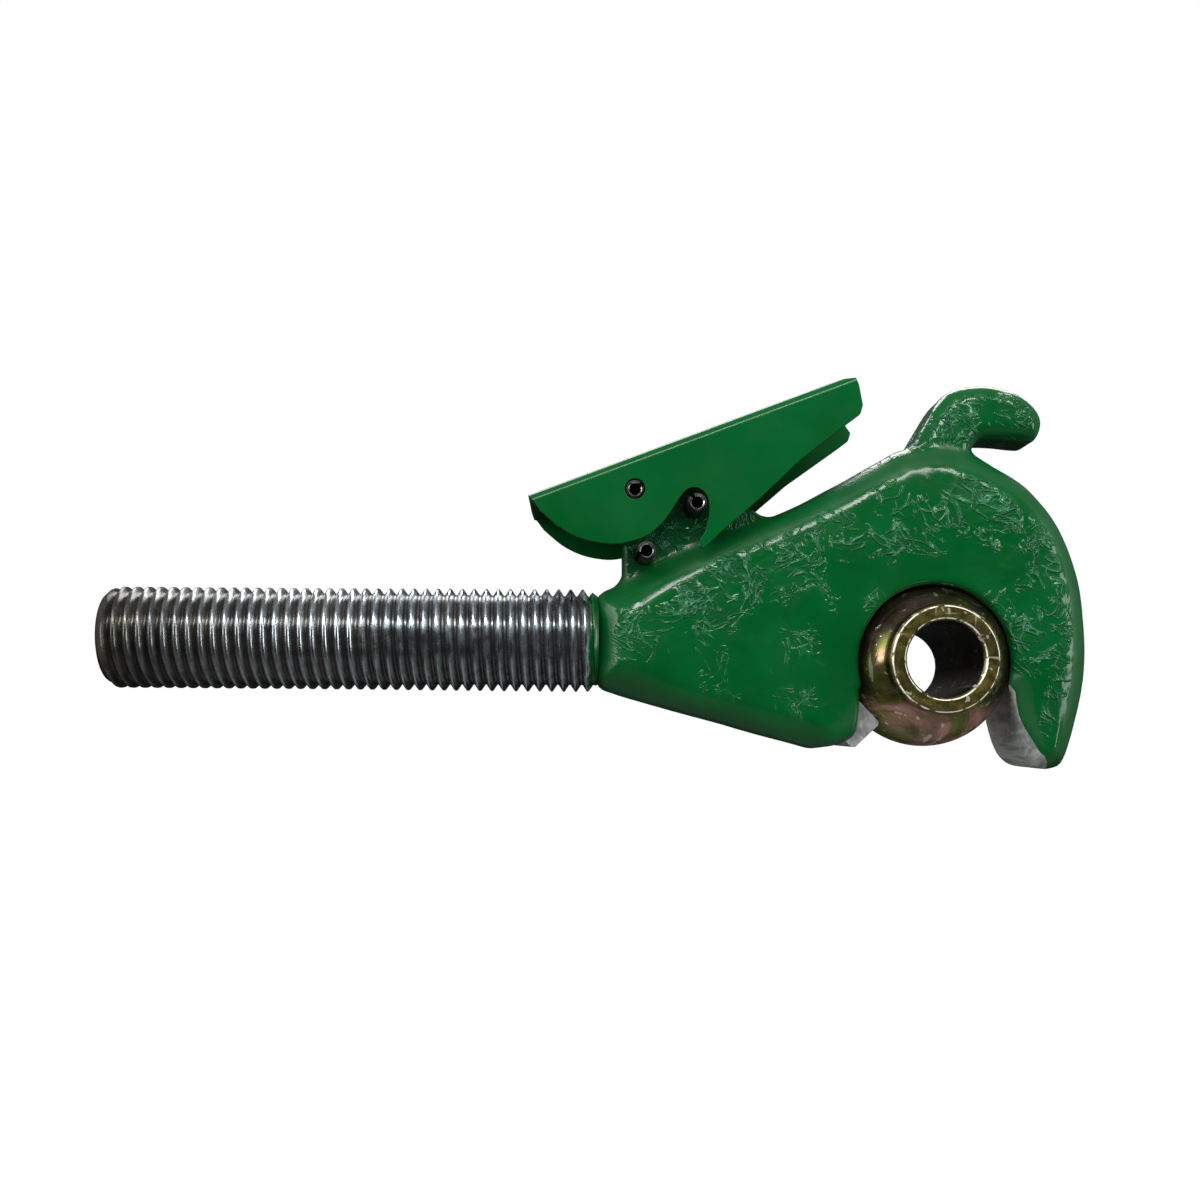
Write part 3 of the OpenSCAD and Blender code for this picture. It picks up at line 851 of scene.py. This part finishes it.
def closeEnds(obj):
    bm = bmesh.new()
    bm.from_mesh(obj.data)
    bmesh.ops.dissolve_degenerate(bm, dist=1e-7, edges=bm.edges)
    caps = bmesh.ops.holes_fill(bm, edges=[e for e in bm.edges if e.is_boundary], sides=0)["faces"]
    bmesh.ops.recalc_face_normals(bm, faces=bm.faces)
    if bm.calc_volume(signed=True) < 0:
        bmesh.ops.reverse_faces(bm, faces=bm.faces)
    print("  closed", len(caps), "ends of", obj.name, "open edges left", sum(e.is_boundary for e in bm.edges))
    bm.to_mesh(obj.data)
    bm.free()
    return obj


bar = closeEnds(growFrom(makeThreadTree(), "threadedShank", {**shank, "Finish": threadSteel}))
finishPiece(shadeSmooth(bar, 48), "root", "zinc_steel", "threaded_shank")


ball = {"radius": 22.0, "half": 22.0, "collar": 13.7, "bore": 9.65, "chamfer": 0.8, "fillet": 0.5}


def makeBall():
    b = ball
    collar, bore, half, corner = b["collar"], b["bore"], b["half"], b["half"] - b["chamfer"]
    meet = math.sqrt(b["radius"] ** 2 - (collar + b["fillet"]) ** 2)  # where the collar meets the ball
    side = [(bore, 12.0), (bore, corner), (bore + b["chamfer"], half), (bore + 1.4, half),
            (collar - b["chamfer"] - 0.5, half), (collar - b["chamfer"], half), (collar, corner),
            (collar, meet + 1.0), (collar + 0.12, meet + 0.45), (collar + b["fillet"], meet)]
    turns = np.linspace(math.acos(meet / b["radius"]), math.pi / 2, 28)[1:-1]
    side += [(b["radius"] * math.sin(a), b["radius"] * math.cos(a)) for a in turns]
    profile = side + [(b["radius"], 0)] + [(r, -h) for r, h in reversed(side)]
    obj = lathe("hitchBall", profile, "Y", 128)
    obj.data.materials.append(chromate)
    return toMetres(obj)


finishPiece(shadeSmooth(makeBall(), 28), "ball", "yellow_zinc", "hitch_ball")


pins = {"radius": 2.5, "bore": 1.5, "slot": 16.0, "lead": 0.55}


def makePin(name, place, length, turn):
    p, half = pins, length / 2
    side = [(p["radius"], half - p["lead"]), (p["radius"] - 0.22, half - 0.1), (p["radius"] - 0.4, half),
            (p["bore"] + 0.28, half), (p["bore"], half - 0.25)]
    loop = [(r, h) for r, h in side] + [(r, -h) for r, h in reversed(side)]
    stations = np.linspace(math.radians(p["slot"]), math.radians(360 - p["slot"]), 41) + turn
    n = len(loop)
    verts = [(place.x + r * math.cos(a), h, place.y + r * math.sin(a)) for a in stations for r, h in loop]
    faces = [[i * n + k, i * n + (k + 1) % n, (i + 1) * n + (k + 1) % n, (i + 1) * n + k]
             for i in range(len(stations) - 1) for k in range(n)]
    faces += [list(range(n)), [(len(stations) - 1) * n + k for k in range(n)][::-1]]
    obj = outward(meshObject(name, verts, faces))
    obj.data.materials.append(blackSteel)
    obj.data.materials.append(wornRim)
    for face in obj.data.polygons:
        off = math.hypot(face.center.x - place.x, face.center.z - place.y)
        if abs(face.normal.y) > 0.4 and off < p["bore"] + 0.3:
            face.material_index = 1
    return shadeSmooth(toMetres(obj), 30)


finishPiece(makePin("leverPivotPin", pivot, 31.4, 0.6), "latch", "black_steel", "lever_pivot_pin")
finishPiece(makePin("upperLugPin", upperPin, 35.0, 2.2), "root", "black_steel", "upper_lug_pin")
finishPiece(makePin("lowerLugPin", lowerPin, 35.0, 3.6), "root", "black_steel", "lower_lug_pin")


latch = {"stem": [(0, -4.8), (2.4, -4.6), (3.9, -3.4), (4.5, -1.8), (4.5, 63), (6.1, 63), (6.5, 63.4), (6.5, 71.6),
                  (6.1, 72), (0, 72)],
         "nose": [(-5.1, 71.4), (4.5, 71.4), (4.5, 85.9), (3.8, 86.6), (-4.4, 86.6), (-5.1, 85.9)], "noseWidth": 20,
         "hollow": 22.12, "eye": 2.5}


def makeLatch():
    obj = lathe("latchBar", latch["stem"], "Z", 64)
    nose = prism("nose", latch["nose"], latch["noseWidth"])
    combine(obj, nose, "UNION")
    ballPlace = Vector((-pivot.dot(across), -pivot.dot(along)))  # the ball's centre, across and along the latch
    r = latch["hollow"]
    hollow = [(0, -r)] + [(r * math.sin(a), -r * math.cos(a)) for a in np.linspace(0, math.pi / 2, 40)[1:]]
    tool = lathe("hollowCutter", hollow + [(r, 9), (0, 9)], "Z", 160)
    tool.data.transform(Matrix.Translation((-ballPlace.x, 0, ballPlace.y)))
    combine(obj, tool)
    combine(obj, lathe("eyeCutter", [(0, -8), (latch["eye"], -8), (latch["eye"], 8), (0, 8)], "Y", 40))
    obj = bevelled(obj, 0.18, 40, 1)
    obj.data.transform(latchFrame)
    obj.data.materials.clear()
    obj.data.materials.append(bareSteel)
    return shadeSmooth(toMetres(obj), 35)


finishPiece(makeLatch(), "latch", "bare_steel", "latch_bar")


spring = {"Turns": 7.0, "Coil Radius": 0.0055, "Height": 0.0271, "Wire Radius": 0.00075}


def makeSpringTree():
    tree = bpy.data.node_groups.new("coilSpring", "GeometryNodeTree")
    tree.interface.new_socket(name="Geometry", in_out="INPUT", socket_type="NodeSocketGeometry")
    for label in spring:
        tree.interface.new_socket(name=label, in_out="INPUT", socket_type="NodeSocketFloat")
    tree.interface.new_socket(name="Finish", in_out="INPUT", socket_type="NodeSocketMaterial")
    tree.interface.new_socket(name="Geometry", in_out="OUTPUT", socket_type="NodeSocketGeometry")
    given = tree.nodes.new("NodeGroupInput").outputs
    path = put(tree, "GeometryNodeCurveSpiral", {
        "Resolution": 28, "Rotations": given["Turns"], "Start Radius": given["Coil Radius"],
        "End Radius": given["Coil Radius"], "Height": given["Height"]})
    wire = put(tree, "GeometryNodeCurvePrimitiveCircle", {"Resolution": 12, "Radius": given["Wire Radius"]})
    tube = put(tree, "GeometryNodeCurveToMesh", {0: path.outputs[0], 1: wire.outputs[0], "Fill Caps": True})
    real = put(tree, "GeometryNodeRealizeInstances", {"Geometry": tube.outputs[0]})
    painted = put(tree, "GeometryNodeSetMaterial", {"Geometry": real.outputs[0], "Material": given["Finish"]})
    tree.links.new(painted.outputs[0], tree.nodes.new("NodeGroupOutput").inputs[0])
    return tree


coil = growFrom(makeSpringTree(), "latchSpring", {**spring, "Finish": springSteel})
springStart = 0.03495  # along the latch from the pivot
metreFrame = Matrix.Translation((pivot.x * mm, 0, pivot.y * mm)) @ latchTurn
coil.data.transform(metreFrame @ Matrix.Translation((0, 0, springStart)))
finishPiece(shadeSmooth(outward(coil), 40), "root", "spring_steel", "latch_spring")
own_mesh(coil)


lever = {"half": 16.0, "sheet": 2.0, "bend": 2.3, "hole": 2.6, "hang": 1.3, "stretch": 3.2}
cheek = [(-27.1, -1.5), (50.3, 27.9), (53.2, 28.5), (55.6, 28.6), (56.4, 26.6), (57.4, 21.6), (56.8, 19.4),
         (54.2, 17.4), (41.7, 7.7), (31.7, -2), (22, -10.5)]  # from the pivot
cheek += smoothCurve([(18.4, -14), (17.2, -14.8), (16.4, -13.8), (17.9, -10.2), (18.7, -6.5), (18.5, -2.4),
                      (17.2, -0.4), (15.2, 0.5), (13, -0.1), (11.3, -2.1), (9, -5.7), (6.5, -9), (2.6, -12),
                      (-3.6, -13.8), (-8.6, -13.7), (-13.7, -12.5), (-18.7, -10), (-23.8, -5.8)])


def makeLever():
    toe, top = Vector(cheek[0]), Vector(cheek[1])
    run = (top - toe).normalized()
    down = Vector((run.y, -run.x))
    steps = [Vector(p) - toe for p in cheek]
    flat = [(p.dot(run), max(p.dot(down), 0.0)) for p in steps]  # along the fold, and below it
    bend, half = lever["bend"], lever["half"]
    bm = bmesh.new()
    bm.faces.new([bm.verts.new((u, 0, w)) for u, w in flat])
    for k in range(1, 7):
        depth = bend * (1 - math.cos(math.radians(15 * k)))
        everything = bm.verts[:] + bm.edges[:] + bm.faces[:]
        bmesh.ops.bisect_plane(bm, geom=everything, dist=1e-5, plane_co=(0, 0, depth), plane_no=(0, 0, 1))
    for v in bm.verts:
        w = v.co.z
        out = bend * math.sqrt(max(1 - (1 - w / bend) ** 2, 0)) if w < bend else bend
        v.co.y = -(half - bend + out)
    mirrored = bmesh.ops.duplicate(bm, geom=bm.verts[:] + bm.edges[:] + bm.faces[:])["geom"]
    for item in mirrored:
        if isinstance(item, bmesh.types.BMVert):
            item.co.y = -item.co.y
            hang = float(step01(item.co.z, 2, 7))  # bent by hand: the far cheek hangs a little lower
            item.co.z += lever["hang"] * hang * float(step01(item.co.x, 44, 60))
            item.co.x += lever["stretch"] * hang * float(step01(item.co.x, 56, 84))
    bm.verts.ensure_lookup_table()
    near = sorted((v for v in bm.verts if v.co.z < 1e-4 and v.co.y < 0), key=lambda v: v.co.x)
    far = sorted((v for v in bm.verts if v.co.z < 1e-4 and v.co.y > 0), key=lambda v: v.co.x)
    for a, b, c, d in zip(near[:-1], near[1:], far[1:], far[:-1]):
        bm.faces.new([a, b, c, d])
    bmesh.ops.remove_doubles(bm, verts=bm.verts, dist=1e-4)
    bmesh.ops.recalc_face_normals(bm, faces=bm.faces)
    mesh = bpy.data.meshes.new("releaseLever")
    bm.to_mesh(mesh)
    bm.free()
    obj = bpy.data.objects.new("releaseLever", mesh)
    scene.collection.objects.link(obj)
    web = max(mesh.polygons, key=lambda f: abs(f.normal.z) * f.area)
    if web.normal.z > 0:  # the web's outer side is at -Z in this unfolded frame
        mesh.flip_normals()
    solid = obj.modifiers.new("sheet", "SOLIDIFY")
    solid.thickness, solid.offset, solid.use_even_offset = lever["sheet"], -1, True
    applyAll(obj)
    place = Matrix(((run.x, 0, down.x, pivot.x + toe.x), (0, 1, 0, 0), (run.y, 0, down.y, pivot.y + toe.y),
                    (0, 0, 0, 1)))
    obj.data.transform(place)
    outward(obj)
    tool = lathe("holeCutter", [(0, -20), (lever["hole"], -20), (lever["hole"], 20), (0, 20)], "Y", 48)
    tool.data.transform(Matrix.Translation((pivot.x, 0, pivot.y)))
    combine(obj, tool)
    bevelled(obj, 0.3, 38, 3)
    obj.data.materials.clear()
    obj.data.materials.append(sheetGreen)
    shadeSmooth(toMetres(obj), 50)
    even = obj.modifiers.new("even", "WEIGHTED_NORMAL")
    even.mode, even.weight, even.keep_sharp = "FACE_AREA", 100, True
    return applyAll(obj)


finishPiece(makeLever(), "lever", "green_paint_sheet", "release_lever")


stage = {"drop": 0.11, "half": 4.0, "glow": 0.12}
lights = {"frontTop": {"place": (-0.1, -0.6, 0.5), "size": (1.1, 0.1), "power": 6.0, "shine": 1.0},
          "leftSide": {"place": (-0.85, -0.35, 0.3), "size": (0.3, 0.6), "power": 3.0, "shine": 1.0},
          "rightSide": {"place": (0.7, -0.4, 0.1), "size": (0.25, 0.6), "power": 2.5, "shine": 1.0},
          "backTop": {"place": (0.0, 0.5, 0.65), "size": (0.9, 0.3), "power": 5.0, "shine": 0.4}}
lightTarget = Vector((-0.05, 0, 0.01))

floorHalf = stage["half"]
floorMesh = meshObject("floor", [(-floorHalf, -floorHalf, 0), (floorHalf, -floorHalf, 0), (floorHalf, floorHalf, 0),
                                 (-floorHalf, floorHalf, 0)], [(0, 1, 2, 3)])
floorMesh.data.transform(Matrix.Translation((0, 0, cadBox[0].z - stage["drop"])))
paper, paperTree, paperShader, paperPlace = newMaterial("paper", Roughness=0.9)
paperShader.inputs["Specular IOR Level"].default_value = 0.0
paperShader.inputs["Emission Color"].default_value = (1, 1, 1, 1)
paperShader.inputs["Emission Strength"].default_value = stage["glow"]
paperMix = speckle(paperTree, paperPlace, 30.0, 3.0)
paperTone = blendColour(paperTree, paperMix, (0.93, 0.93, 0.93), (0.95, 0.95, 0.95))
feed(paperTree, paperShader, {"Base Color": paperTone})
floorMesh.data.materials.append(paper)
floorMesh.visible_diffuse = False
floorMesh.visible_glossy = False

for lightName, settings in lights.items():
    lamp = bpy.data.lights.new(lightName, "AREA")
    lamp.shape, lamp.energy, lamp.specular_factor = "RECTANGLE", settings["power"], settings["shine"]
    lamp.size, lamp.size_y = settings["size"]
    lampObject = bpy.data.objects.new(lightName, lamp)
    lampObject.location = settings["place"]
    lampObject.rotation_euler = (lightTarget - Vector(settings["place"])).to_track_quat("-Z", "Y").to_euler()
    scene.collection.objects.link(lampObject)

world = bpy.data.worlds.new("studio")
scene.world = world
world.use_nodes = True
w = world.node_tree
w.nodes.clear()
path = put(w, "ShaderNodeLightPath").outputs
sky = put(w, "ShaderNodeSeparateXYZ", {0: put(w, "ShaderNodeTexCoord").outputs["Generated"]}).outputs
soft = {"under": 0.34, "over": 1.0}  # for matt surfaces
mirror = {"level": 0.015, "above": 0.32, "sides": 0.2, "below": 0.22}  # for shiny surfaces
diffuseLight = remap(w, sky[2], -0.55, 0.2, soft["under"], soft["over"])
mirrorLight = remap(w, sky[2], 0.1, 0.95, mirror["level"], mirror["above"])
mirrorLight = plus(w, mirrorLight, remap(w, calc(w, "ABSOLUTE", sky[0]), 0.6, 1.0, 0.0, mirror["sides"]))
mirrorLight = plus(w, mirrorLight, remap(w, sky[2], -0.55, -0.9, 0.0, mirror["below"]))
glossy, seen = path["Is Glossy Ray"], path["Is Camera Ray"]
chosen = plus(w, times(w, diffuseLight, minus(w, 1.0, glossy)), times(w, mirrorLight, glossy))
strength = calc(w, "MAXIMUM", seen, times(w, chosen, minus(w, 1.0, seen)))  # plain white to the camera
background = put(w, "ShaderNodeBackground", {"Color": (1, 1, 1, 1), "Strength": strength})
w.links.new(background.outputs[0], w.nodes.new("ShaderNodeOutputWorld").inputs[0])
scene.view_settings.view_transform = "Standard"
scene.view_settings.look = "None"
print("floor and light made")
